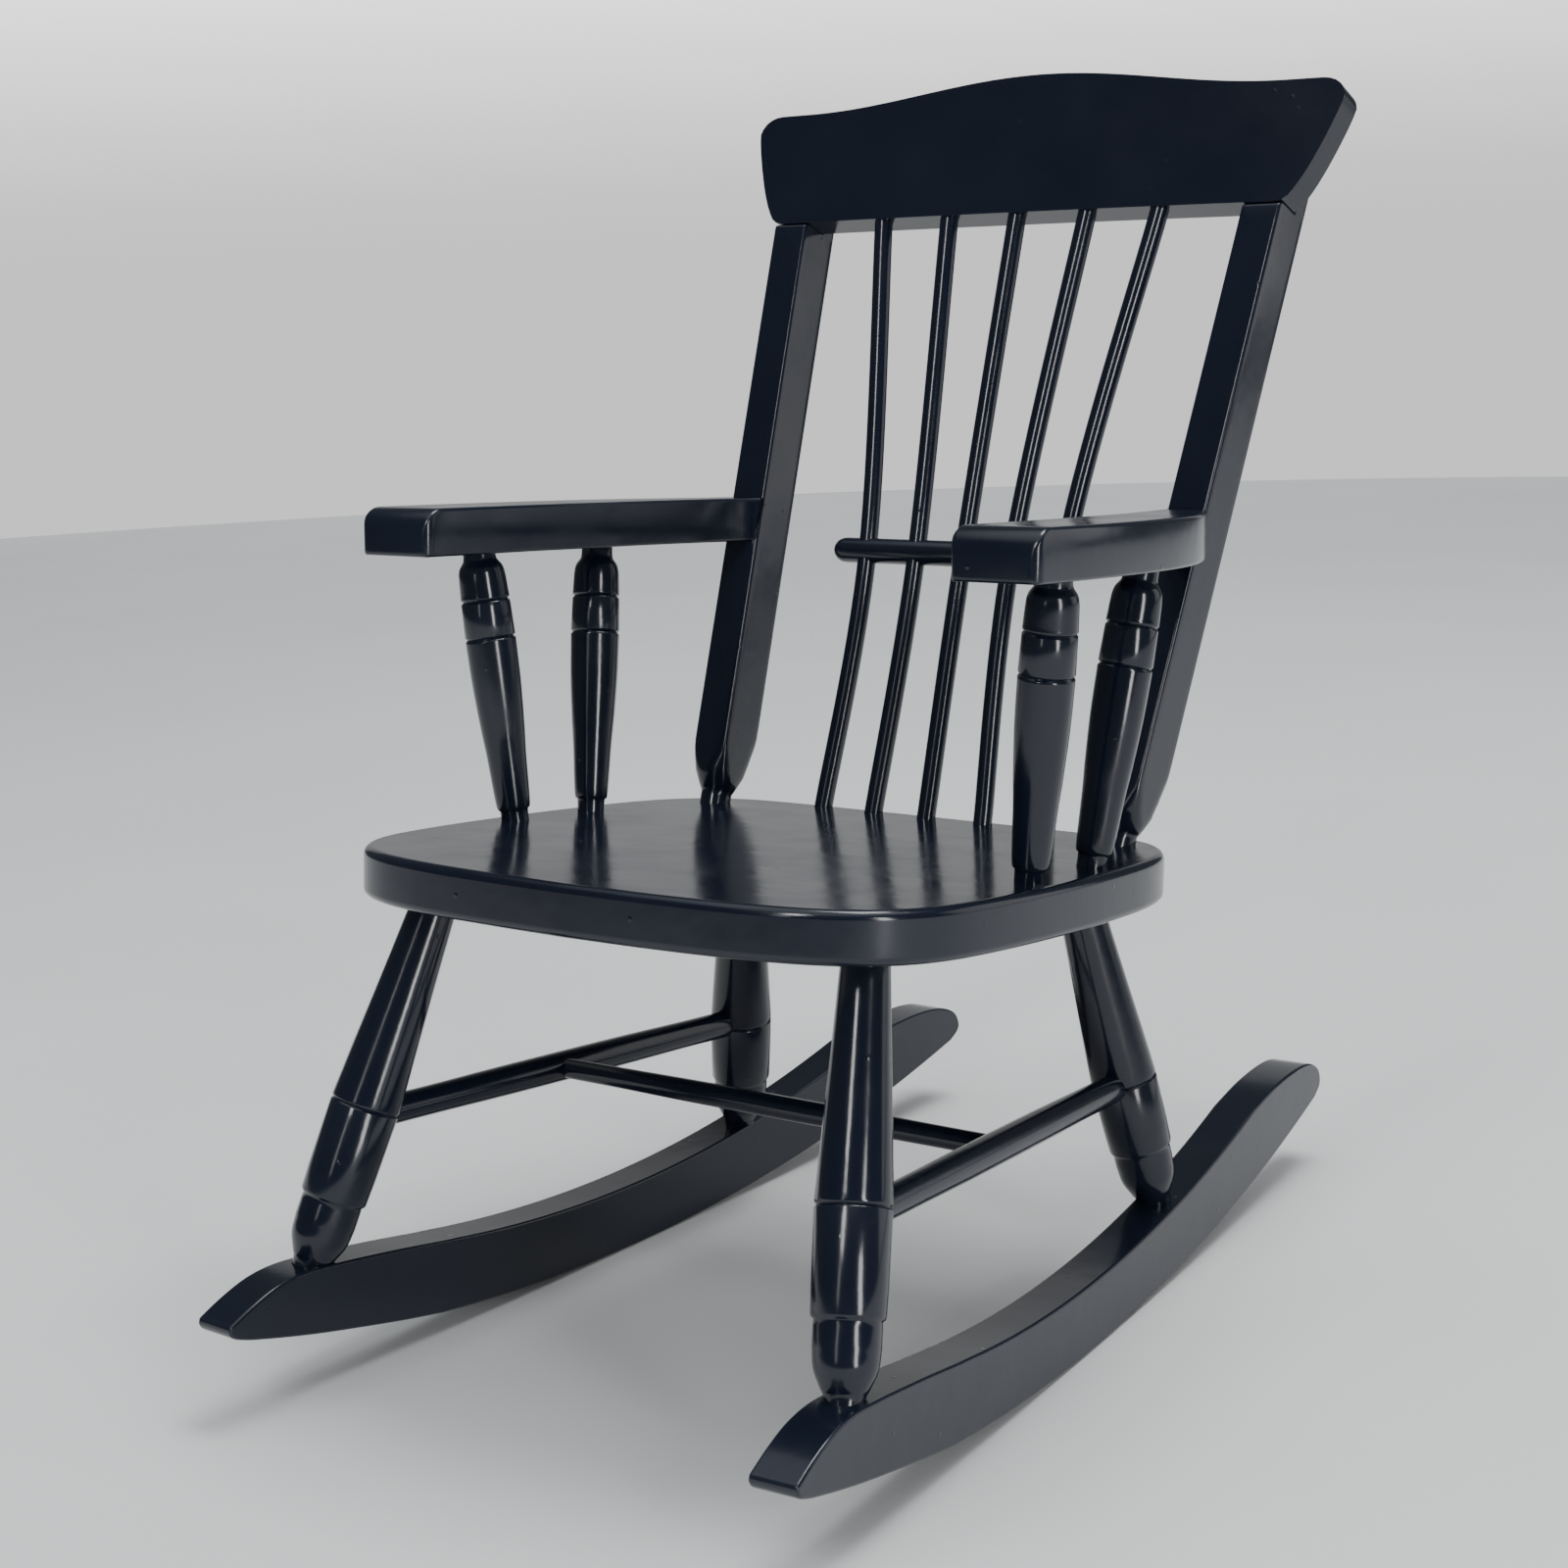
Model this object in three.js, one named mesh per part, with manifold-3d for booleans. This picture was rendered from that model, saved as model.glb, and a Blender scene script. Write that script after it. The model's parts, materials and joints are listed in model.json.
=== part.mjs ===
// A child's spindle-back rocking chair in painted wood, as the separate pieces that a chairmaker glues up.
// Units are millimetres. The chair is drawn in the seat's own frame: X to the sitter's left, Y to the back,
// Z up, with the origin on top of the seat board at its middle. The finished chair is then leaned back until
// it balances on its rockers, and moved so that the middle of its footprint is the origin.
import * as THREE from "three";
import { mergeVertices } from "three/addons/utils/BufferGeometryUtils.js";
import Module from "manifold-3d";

// Joints and rest position
const glueGap = 0.3;
const cutTolerance = 0.01;
const restLean = THREE.MathUtils.degToRad(5.87);

// Seat board
const seatThickness = 24.5;
const seatEase = 4;
const seatEdge = [
  [0, -150],
  [48, -148],
  [92, -143],
  [126, -133],
  [150, -116],
  [165, -88],
  [171, -45],
  [172, 10],
  [169.5, 60],
  [164, 105],
  [153, 136],
  [132, 158],
  [95, 167],
  [0, 169],
];

// Legs: where each axis leaves the seat's underside and where it meets the rocker, and its turning marks
const legTenonRadius = 10;
const legTenonLength = 17;
const legFootRadius = 8.6;
const legFootDepth = 21;
const legs = {
  front: { top: [125, -90, -24.5], foot: [155.8, -146, -203], upperGroove: 109, lowerGroove: 157, barAt: 115 },
  rear: { top: [105, 134, -24.5], foot: [133.5, 176, -189.5], upperGroove: 105, lowerGroove: 144, barAt: 107 },
};

// Rockers: plank thickness, the two arcs of its edges, and how the pair closes towards the rear
const rockerThickness = 24;
const rockerOffset = 147.5;
const rockerToeOut = Math.atan(0.064);
const rockerBottom = { radius: 1100, y: -25, z: -245 };
const rockerTop = { radius: 800, y: 0, z: -209.2 };
const toeTip = [-205, -219.5];
const toeStart = -60;
const tailStart = 285;
const tailTip = [383, -163];

// Stretchers between the legs
const sideStretcher = { radius: 7.8, endRadius: 6.9, depth: 12 };
const crossStretcher = { radius: 5.8, endRadius: 4.9, depth: 8, along: 0.48 };

// The back leans away from the seat, so its parts are drawn in a leaning frame: X, thickness, height
const backFoot = 137;
const backLean = Math.atan2(106.5, 325);
const postWidth = 22;
const postDepth = 30;
const postSet = 1.5;
const postFootX = 126.5;
const postTopX = 148;
const postHeight = 339;
const postNeckRadius = 8.5;
const postTenonLength = 16;
const postShoulder = 3;
const postTongue = 50;

// Crest rail
const crestThickness = 17;
const crestFront = -12.8;
const crestSag = -1.5;
const crestBottomHalf = 160;
const crestTopHalf = 183.5;
const crestEndHeight = 67.5;
const crestHump = 13.5;
const crestHumpHalf = 150;

// Spindles and the short bar that ties them together
const spindleRadius = 5.1;
const spindleTenon = 15;
const spindles = [
  { name: "spindle_right_outer", foot: -70, waist: -62, top: -87 },
  { name: "spindle_right_inner", foot: -34.5, waist: -30, top: -43.5 },
  { name: "spindle_middle", foot: 0, waist: 0, top: 0 },
  { name: "spindle_left_inner", foot: 34.5, waist: 30, top: 43.5 },
  { name: "spindle_left_outer", foot: 70, waist: 62, top: 87 },
];
const spindleFootY = 156.5;
const spindleFootCurve = 5;
const spindleTopSet = -8;
const barHeight = 141;
const barY = 188;
const barHalfLength = 83;
const barRadius = 7;

// Arms and their turned supports
const armThickness = 24;
const armBottom = 139.5;
const armRise = 4;
const armFront = -72;
const armFrontInner = 150.5;
const armFrontOuter = 195;
const armNose = 13;
const supports = {
  front: { foot: [154, 0, 0], top: [169.5, -12.5, armBottom] },
  rear: { foot: [153, 60.4, 0], top: [165, 78, armBottom] },
};
const supportTenon = 13;

// Dowels hidden in the joints of the back
const dowelRadius = 4;
const dowelHalfLength = 17;
const crestDowelHalfLength = 9;

// Facets
const turnedSides = 16;
const dowelSides = 10;

const wasm = await Module();
wasm.setup();

const vector = (values) => new THREE.Vector3(...values);

// Solids for joining and cutting, taken in the chair's frame
function solidOf(mesh) {
  mesh.updateMatrixWorld(true);
  const bare = mesh.geometry.clone().applyMatrix4(mesh.matrixWorld);
  bare.deleteAttribute("normal");
  bare.deleteAttribute("uv");
  const merged = mergeVertices(bare, 1e-3);
  return new wasm.Manifold(
    new wasm.Mesh({
      numProp: 3,
      tolerance: cutTolerance,
      vertProperties: merged.attributes.position.array,
      triVerts: new Uint32Array(merged.index.array),
    }),
  );
}

function geometryOf(solid) {
  const mesh = solid.getMesh();
  const geometry = new THREE.BufferGeometry();
  geometry.setAttribute("position", new THREE.BufferAttribute(mesh.vertProperties, 3));
  geometry.setIndex(new THREE.BufferAttribute(mesh.triVerts, 1));
  geometry.computeVertexNormals();
  return geometry;
}

const cut = (blank, tools) => new THREE.Mesh(geometryOf(wasm.Manifold.difference([blank, ...tools].map(solidOf))));
const join = (pieces) => new THREE.Mesh(geometryOf(wasm.Manifold.union(pieces.map(solidOf))));
const common = (pieces) => new THREE.Mesh(geometryOf(wasm.Manifold.intersection(pieces.map(solidOf))));

// A turned piece: a profile of [distance along the axis, radius], set on the line from one point to another
function turned(profile, from, to, grow = 0, sides = turnedSides) {
  const last = profile.length - 1;
  const points = profile.map(([distance, radius], i) => {
    const end = i === 0 ? -grow : i === last ? grow : 0;
    return new THREE.Vector2(radius + grow, distance + end);
  });
  const closed = [new THREE.Vector2(0, points[0].y), ...points, new THREE.Vector2(0, points[last].y)];
  const geometry = new THREE.LatheGeometry(closed, sides).rotateX(Math.PI / 2);
  const mesh = new THREE.Mesh(geometry);
  mesh.position.copy(vector(from));
  mesh.quaternion.setFromUnitVectors(new THREE.Vector3(0, 0, 1), vector(to).sub(vector(from)).normalize());
  return mesh;
}

const mirrored = (point, side) => [point[0] * side, point[1], point[2]];
const distance = (a, b) => vector(a).distanceTo(vector(b));

// A V-shaped ring cut with the corner of a chisel
const groove = (at, radius) => [
  [at - 1.4, radius],
  [at, radius - 1.4],
  [at + 1.4, radius],
];

// An outline drawn for one half and mirrored to the other
function symmetricShape(half, divisions = 7) {
  const points = half.getPoints(divisions);
  const back = points.slice(1, -1).reverse();
  return new THREE.Shape([...points, ...back.map((p) => new THREE.Vector2(-p.x, p.y))]);
}

function plank(shape, thickness, ease, segments = 2) {
  return new THREE.ExtrudeGeometry(shape, {
    depth: thickness - 2 * ease,
    bevelEnabled: ease > 0,
    bevelThickness: ease,
    bevelSize: ease,
    bevelOffset: -ease,
    bevelSegments: segments,
    curveSegments: 7,
  }).translate(0, 0, ease);
}

// Seat: a board with bowed sides, rounded on its edges
function seatBoard() {
  const half = new THREE.Path();
  half.moveTo(...seatEdge[0]);
  half.splineThru(seatEdge.slice(1).map((point) => new THREE.Vector2(...point)));
  return new THREE.Mesh(plank(symmetricShape(half, 2), seatThickness, seatEase, 3).translate(0, 0, -seatThickness));
}

function leg(kind, side, grow = 0) {
  const { top, foot, upperGroove, lowerGroove } = legs[kind];
  const length = distance(top, foot);
  const profile = [
    [-legTenonLength, legTenonRadius],
    [2, legTenonRadius + 1],
    [upperGroove * 0.45, 13.4],
    [upperGroove * 0.8, 15.8],
    ...groove(upperGroove, 17),
    [lowerGroove - 14, 16.6],
    [lowerGroove - 1.5, 16.2],
    [lowerGroove + 1, 14.8],
    [length - 12, 14.6],
    [length - 7, 12.6],
    [length - 3, legFootRadius + 0.8],
    [length, legFootRadius],
    [length + legFootDepth, legFootRadius],
  ];
  return turned(profile, mirrored(top, side), mirrored(foot, side), grow);
}

// Rocker: a plank sawn to two arcs, with a nose that rounds down at the front and a blunt tail
function rocker(side) {
  const bottomZ = (y) => rockerBottom.z + (y - rockerBottom.y) ** 2 / (2 * rockerBottom.radius);
  const topZ = (y) => rockerTop.z + (y - rockerTop.y) ** 2 / (2 * rockerTop.radius);
  const spread = (from, to, count) => Array.from({ length: count + 1 }, (_, i) => from + ((to - from) * i) / count);
  const shape = new THREE.Shape();
  shape.moveTo(...toeTip);
  shape.lineTo(toeTip[0] + 1.5, toeTip[1] - 4);
  shape.lineTo(toeTip[0] + 6, toeTip[1] - 6.5);
  shape.bezierCurveTo(-170, -232, -125, bottomZ(toeStart) + 3, toeStart, bottomZ(toeStart));
  spread(toeStart, tailTip[0] - 10, 19).slice(1).forEach((y) => shape.lineTo(y, bottomZ(y)));
  shape.quadraticCurveTo(tailTip[0] - 1, tailTip[1] - 8, ...tailTip);
  shape.bezierCurveTo(380, -152, 365, -149, 350, -149.5);
  shape.bezierCurveTo(330, -150.5, 312, -153, tailStart, topZ(tailStart) - 2);
  spread(tailStart - 25, toeStart, 16).forEach((y) => shape.lineTo(y, topZ(y)));
  shape.bezierCurveTo(-95, -204.5, -135, -201.5, -158, -202);
  shape.bezierCurveTo(-175, -202.5, -188, -209, ...toeTip);
  const geometry = plank(shape, rockerThickness, 1.2, 1).translate(0, 0, -rockerThickness / 2);
  geometry.rotateZ(Math.PI / 2).rotateY(Math.PI / 2);
  const mesh = new THREE.Mesh(geometry);
  mesh.rotation.z = side * rockerToeOut;
  mesh.position.x = side * rockerOffset;
  return mesh;
}

function turnedBar({ radius, endRadius, depth }, from, to, grow = 0) {
  const length = distance(from, to);
  const profile = [
    [-depth, endRadius],
    [depth, endRadius + 0.5],
    [depth * 3, radius],
    [length - depth * 3, radius],
    [length - depth, endRadius + 0.5],
    [length + depth, endRadius],
  ];
  // The bar's ends are measured from the surfaces of the legs, so each starts inside its mortise
  return turned(profile, from, to, grow, 16);
}

// A point on a leg's axis, at one distance down from the seat
function onLeg(kind, side, down) {
  const { top, foot } = legs[kind];
  const t = down / distance(top, foot);
  return vector(mirrored(top, side)).lerp(vector(mirrored(foot, side)), t);
}

function sideBarEnds(side) {
  const front = onLeg("front", side, legs.front.barAt);
  const rear = onLeg("rear", side, legs.rear.barAt);
  const reach = new THREE.Vector3().subVectors(rear, front).normalize().multiplyScalar(15);
  return [front.add(reach).toArray(), rear.sub(reach).toArray()];
}

function crossBarEnds() {
  const ends = [-1, 1].map((side) => {
    const [front, rear] = sideBarEnds(side);
    return vector(front).lerp(vector(rear), crossStretcher.along);
  });
  const reach = new THREE.Vector3(sideStretcher.radius - 1, 0, 0);
  return [ends[0].add(reach).toArray(), ends[1].sub(reach).toArray()];
}

// Back parts stand in the leaning frame
function inBack(mesh) {
  const frame = new THREE.Group();
  frame.position.y = backFoot;
  frame.rotation.x = -backLean;
  frame.add(mesh);
  frame.updateMatrixWorld(true);
  return mesh;
}

// An upright extrusion: its outline is drawn in X and height, and its thickness runs to the back
function upright(shape, front, thickness) {
  const geometry = new THREE.ExtrudeGeometry(shape, { depth: thickness, bevelEnabled: false, curveSegments: 7 });
  geometry.rotateX(Math.PI / 2).translate(0, front + thickness, 0);
  return inBack(new THREE.Mesh(geometry));
}

// Post: a square-edged stick that leans out. It is pointed down to a round neck, and a tongue at its top
// stands behind the crest
function post(side, grow = 0) {
  const slope = (postTopX - postFootX) / postHeight;
  const half = postWidth / 2 + grow;
  const top = postHeight - glueGap;
  const tip = postHeight + postTongue + grow;
  const stick = new THREE.Shape();
  stick.moveTo(side * (postFootX - side * half), 0);
  stick.lineTo(side * (postFootX + side * half), 0);
  stick.lineTo(side * (postFootX + tip * slope + side * half), tip);
  stick.lineTo(side * (postFootX + tip * slope - side * half), tip);
  const front = postSet - postDepth / 2 - grow;
  const back = postSet + postDepth / 2 + grow;
  const blank = upright(stick, front, back - front);

  const profile = new THREE.Shape();
  profile.moveTo(front, -1);
  profile.lineTo(back, -1);
  profile.lineTo(back, tip - 5);
  profile.quadraticCurveTo(back, tip, back - 5, tip);
  profile.lineTo(crestFront + crestThickness + glueGap, tip);
  profile.lineTo(crestFront + crestThickness + glueGap, top);
  profile.lineTo(front + postShoulder, top);
  profile.quadraticCurveTo(front, top, front, top - postShoulder);
  const across = new THREE.ExtrudeGeometry(profile, { depth: 400, bevelEnabled: false, curveSegments: 4 });
  across.translate(0, 0, -200).rotateX(Math.PI / 2).rotateZ(Math.PI / 2);
  const shoulders = inBack(new THREE.Mesh(across));

  const point = [
    [-2, postNeckRadius + grow],
    [5, postNeckRadius + grow],
    [9, 10.5 + grow],
    [16, 13.6 + grow],
    [28, 16.6 + grow],
    [44, 20.5 + grow],
    [postHeight + postTongue + 5, 50],
  ];
  const foot = [side * postFootX, 0, 0];
  const head = [side * postTopX, 0, postHeight];
  const pointed = inBack(turned(point, foot, head, 0, 24));
  const neckProfile = [
    [-postTenonLength, postNeckRadius],
    [7, postNeckRadius],
  ];
  const neck = inBack(turned(neckProfile, foot, head, grow));
  return join([common([blank, shoulders, pointed]), neck]);
}

// Height of the crest's top edge above its bottom edge
function crestTop(x) {
  const hump = Math.abs(x) < crestHumpHalf ? 0.5 + 0.5 * Math.cos((Math.PI * x) / crestHumpHalf) : 0;
  return crestEndHeight + crestHump * hump;
}

// Crest rail: a board curved in plan, sawn to its outline
function crestRail() {
  const half = new THREE.Path();
  half.moveTo(0, 0);
  half.lineTo(crestBottomHalf - 5, 0);
  half.quadraticCurveTo(crestBottomHalf + 1, 0, crestBottomHalf + 4, 6);
  half.bezierCurveTo(crestBottomHalf + 13, 22, crestTopHalf - 3, 42, crestTopHalf, crestEndHeight - 15);
  half.quadraticCurveTo(crestTopHalf + 2, crestEndHeight, crestTopHalf - 13, crestEndHeight);
  half.lineTo(crestHumpHalf, crestEndHeight);
  for (let x = crestHumpHalf - 15; x >= 0; x -= 15) half.lineTo(x, crestTop(x));
  const outline = symmetricShape(half);
  const front = upright(outline, -100, 200);
  front.position.z = postHeight;

  const plan = new THREE.Shape();
  const reach = crestTopHalf + 20;
  const sweep = (x) => crestFront + crestSag * (1 - (x / crestTopHalf) ** 2);
  const stations = Array.from({ length: 21 }, (_, i) => -reach + (2 * reach * i) / 20);
  stations.forEach((x, i) => (i ? plan.lineTo(x, sweep(x)) : plan.moveTo(x, sweep(x))));
  stations.reverse().forEach((x) => plan.lineTo(x, sweep(x) + crestThickness));
  const curved = new THREE.ExtrudeGeometry(plan, { depth: 140, bevelEnabled: false });
  const strip = inBack(new THREE.Mesh(curved.translate(0, 0, postHeight - 20)));
  return common([front, strip]);
}

// Spindle: a thin rod from seat to crest, drawn in at the bar
function spindle({ foot, waist, top }, grow = 0) {
  const footY = spindleFootY + spindleFootCurve * (foot / 70) ** 2;
  const low = new THREE.Vector3(foot, footY, 0);
  const middle = new THREE.Vector3(waist, barY, barHeight);
  const back = inBack(new THREE.Object3D()).parent;
  const high = back.localToWorld(new THREE.Vector3(top, spindleTopSet, postHeight));
  const lower = new THREE.Vector3().subVectors(middle, low).normalize();
  const start = low.clone().addScaledVector(lower, -spindleTenon - grow);
  const end = back.localToWorld(new THREE.Vector3(top * 1.01, spindleTopSet, postHeight + spindleTenon + grow));
  const path = new THREE.CatmullRomCurve3([start, low, middle, high, end]);
  const section = new THREE.Shape().absarc(0, 0, spindleRadius + grow, 0, 2 * Math.PI);
  const geometry = new THREE.ExtrudeGeometry(section, {
    steps: 12,
    curveSegments: 6,
    extrudePath: path,
    bevelEnabled: false,
  });
  return new THREE.Mesh(geometry);
}

function lumbarBar() {
  const profile = [
    [0, 3],
    [2, 5.6],
    [5, barRadius],
    [2 * barHalfLength - 5, barRadius],
    [2 * barHalfLength - 2, 5.6],
    [2 * barHalfLength, 3],
  ];
  return turned(profile, [-barHalfLength, barY, barHeight], [barHalfLength, barY, barHeight], 0, 20);
}

// Arm: a thick board whose outer side curves in to meet the front of the post
function arm(side) {
  const shape = new THREE.Shape();
  shape.moveTo(armFrontInner + 6, armFront);
  shape.lineTo(armFrontOuter - 8, armFront);
  shape.quadraticCurveTo(armFrontOuter, armFront, armFrontOuter, armFront + 8);
  shape.bezierCurveTo(armFrontOuter, 0, 193, 60, 178, 112);
  shape.quadraticCurveTo(166, 150, postFootX + 21, 190);
  shape.lineTo(postFootX - 1, 190);
  shape.quadraticCurveTo(137, 130, 142, 100);
  shape.bezierCurveTo(148, 50, armFrontInner - 1, 0, armFrontInner, armFront + 6);
  shape.quadraticCurveTo(armFrontInner, armFront, armFrontInner + 6, armFront);
  const outline = shape.getPoints(7).map((p) => new THREE.Vector2(side * p.x, p.y));
  const board = new THREE.Mesh(plank(new THREE.Shape(outline), armThickness, 1.5, 1));
  board.position.z = armBottom;
  board.rotation.x = Math.atan2(armRise, backFoot);

  // Seen from the side, the front end is rolled over from the top and the rear end lies against the post
  const low = armBottom - 1;
  const high = armBottom + armThickness;
  const postFace = (z) => backFoot + z * Math.tan(backLean) - (postDepth / 2 - postSet + glueGap) / Math.cos(backLean);
  const profile = new THREE.Shape();
  profile.moveTo(armFront - 1, low);
  profile.lineTo(postFace(low), low);
  profile.lineTo(postFace(high + 1), high + 1);
  profile.lineTo(armFront + armNose, high + 1);
  profile.lineTo(armFront + armNose, high);
  profile.quadraticCurveTo(armFront, high, armFront - 1, high - armNose);
  const ends = new THREE.ExtrudeGeometry(profile, { depth: 500, bevelEnabled: false, curveSegments: 5 });
  ends.translate(0, 0, -250).rotateX(Math.PI / 2).rotateZ(Math.PI / 2);
  return common([board, new THREE.Mesh(ends)]);
}

function armSupport(kind, side, grow = 0) {
  const { foot, top } = supports[kind];
  const length = distance(foot, top);
  const profile = [
    [-supportTenon, 7.2],
    [6, 7.2],
    [10, 9],
    [34, 10.2],
    [50, 11.5],
    [72, 12.7],
    ...groove(length - 45, 13.1),
    ...groove(length - 25.5, 12.7),
    [length - 12.5, 12],
    [length - 8, 10.9],
    [length - 4.5, 8.6],
    [length + supportTenon, 8.2],
  ];
  return turned(profile, mirrored(foot, side), mirrored(top, side), grow);
}

// Dowel between the end of an arm and the front of a post
function armDowel(side, grow = 0) {
  const height = armBottom + armRise + armThickness / 2;
  const up = height / Math.cos(backLean);
  const x = postFootX + ((postTopX - postFootX) * up) / postHeight;
  const y = backFoot + height * Math.tan(backLean) - postDepth / 2 + postSet;
  const profile = [
    [0, dowelRadius],
    [2 * dowelHalfLength, dowelRadius],
  ];
  const from = [side * x, y - dowelHalfLength, height];
  return turned(profile, from, [side * x, y, height], grow, dowelSides);
}

// Dowel through the seam between the crest rail and the tongue of a post
function crestDowel(side, grow = 0) {
  const profile = [
    [-crestDowelHalfLength, dowelRadius],
    [crestDowelHalfLength, dowelRadius],
  ];
  const x = side * (postTopX + 1.5);
  const seam = crestFront + crestThickness;
  const height = postHeight + postTongue / 2;
  return inBack(turned(profile, [x, seam, height], [x, seam + 1, height], grow, dowelSides));
}

const chair = new THREE.Group();

// Every piece is painted with the same blue-black gloss, and each has a material of its own
function add(name, mesh, roughness = 0.3) {
  mesh.updateMatrixWorld(true);
  const geometry = mesh.geometry.clone().applyMatrix4(mesh.matrixWorld);
  const material = new THREE.MeshStandardMaterial({ color: 0x171b22, roughness, metalness: 0 });
  const piece = new THREE.Mesh(geometry, material);
  piece.name = name;
  chair.add(piece);
}

const sides = [
  ["left", 1],
  ["right", -1],
];
const spindleTools = spindles.map((entry) => spindle(entry, glueGap));
const seatTools = [...spindleTools];

for (const [label, side] of sides) {
  const legTools = ["front", "rear"].map((kind) => leg(kind, side, glueGap));
  const supportTools = ["front", "rear"].map((kind) => armSupport(kind, side, glueGap));
  const bar = (grow) => turnedBar(sideStretcher, ...sideBarEnds(side), grow);
  seatTools.push(...legTools, ...supportTools, post(side, glueGap));
  for (const kind of ["front", "rear"]) {
    add(`${kind}_leg_${label}`, cut(leg(kind, side), [bar(glueGap)]));
    add(`arm_support_${kind}_${label}`, armSupport(kind, side));
  }
  add(`rocker_${label}`, cut(rocker(side), legTools));
  add(`side_stretcher_${label}`, cut(bar(0), [turnedBar(crossStretcher, ...crossBarEnds(), glueGap)]));
  add(`back_post_${label}`, cut(post(side), [armDowel(side, glueGap), crestDowel(side, glueGap)]));
  add(`arm_${label}`, cut(arm(side), [...supportTools, armDowel(side, glueGap)]));
  add(`arm_dowel_${label}`, armDowel(side));
  add(`crest_dowel_${label}`, crestDowel(side));
}
add("cross_stretcher", turnedBar(crossStretcher, ...crossBarEnds()));
for (const entry of spindles) add(entry.name, spindle(entry));
add("lumbar_bar", cut(lumbarBar(), spindleTools));
add("crest_rail", cut(crestRail(), [...spindleTools, crestDowel(1, glueGap), crestDowel(-1, glueGap)]));
add("seat_board", cut(seatBoard(), seatTools));

// Lean the chair back to its balance, and stand it on the floor over the origin
chair.rotation.x = -restLean;
const bounds = new THREE.Box3().setFromObject(chair, true);
chair.position.y = -(bounds.min.y + bounds.max.y) / 2;
chair.position.z = -bounds.min.z;

export default chair;
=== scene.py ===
"""Looks for a child's rocking chair in blue-black gloss paint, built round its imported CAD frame.

Pieces are drawn in millimetres in the seat's own frame: X to the sitter's left, Y to the back, Z up, with the
origin on top of the seat board. REST leans that frame back and stands it on the floor, in metres.
"""

import json
import math

import bmesh
import bpy
from mathutils import Matrix, Vector


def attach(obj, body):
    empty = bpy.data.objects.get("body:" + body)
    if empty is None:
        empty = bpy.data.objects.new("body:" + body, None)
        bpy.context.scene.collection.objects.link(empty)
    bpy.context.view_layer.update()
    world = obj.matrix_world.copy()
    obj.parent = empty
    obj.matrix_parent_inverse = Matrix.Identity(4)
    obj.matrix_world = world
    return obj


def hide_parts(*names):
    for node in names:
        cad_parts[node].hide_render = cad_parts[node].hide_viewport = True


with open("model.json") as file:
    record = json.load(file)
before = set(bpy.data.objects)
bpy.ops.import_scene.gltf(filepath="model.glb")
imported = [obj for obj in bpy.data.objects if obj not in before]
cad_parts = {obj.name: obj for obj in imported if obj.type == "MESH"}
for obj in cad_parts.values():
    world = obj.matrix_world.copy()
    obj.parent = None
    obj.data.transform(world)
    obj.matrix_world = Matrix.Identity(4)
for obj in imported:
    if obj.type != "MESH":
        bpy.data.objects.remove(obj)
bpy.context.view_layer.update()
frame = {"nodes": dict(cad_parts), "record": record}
mounts = {mount["name"]: mount for mount in frame["record"]["mounts"]}

SIDES = (("left", 1), ("right", -1))
GLUE_GAP = 0.3
CORNER_STEPS = 5

# Seat board: its outline from the middle of the front to the middle of the back, and the Y of its mount
SEAT_THICKNESS = 24.5
SEAT_MIDDLE = 20
SEAT_EDGE = [
    (0, -150), (48, -148), (92, -143), (126, -133), (150, -116), (165, -88), (171, -45),
    (172, 10), (169.5, 60), (164, 105), (153, 136), (132, 158), (95, 167), (0, 169),
]

# Grooves cut round the turned pieces
RING_DEPTH = 0.9
RING_HALF = 1.2

# Legs: where each axis leaves the seat and meets the rocker, and how far down it the rings and the bar are
LEGS = {
    "front": {"top": (125, -90, -24.5), "foot": (155.8, -146, -203), "rings": (109, 157), "bar": 115},
    "rear": {"top": (105, 134, -24.5), "foot": (133.5, 176, -189.5), "rings": (105, 144), "bar": 107},
}
LEG_RADIUS = 17
LEG_TENON = 14

# Stretchers: radius, radius at the tips, how far the ends are from the joined axes, and how far they run on
SIDE_STRETCHER = {"radius": 7.8, "tip": 7.1, "inset": 15, "reach": 9}
CROSS_STRETCHER = {"radius": 5.8, "tip": 5.1, "inset": 6, "reach": 5}
CROSS_ALONG = 0.48

# Rockers, with their ends as (Y, Z) points
ROCKER_THICKNESS = 24
ROCKER_OFFSET = 147.5
ROCKER_CLOSING = 0.064
ROCKER_BOTTOM = {"radius": 1100, "y": -25, "z": -244.9}
ROCKER_TOP = {"radius": 800, "y": 0, "z": -209.2}
ROCKER_TOE = [
    (-204.4, -221.2), (-202.6, -223.8), (-198, -226), (-185, -229),
    (-150, -234.8), (-100, -241), (-68, -244.1),
]
ROCKER_TAIL = [
    (374, -172.6), (381, -167.5), (382.5, -162), (377, -154.5),
    (362, -150), (340, -149.8), (310, -153.6), (278, -160.9),
]
ROCKER_NOSE = [
    (-66, -206.7), (-100, -204.2), (-135, -202.4), (-158, -202.2),
    (-175, -205), (-190, -211), (-204.2, -218.6),
]

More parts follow.
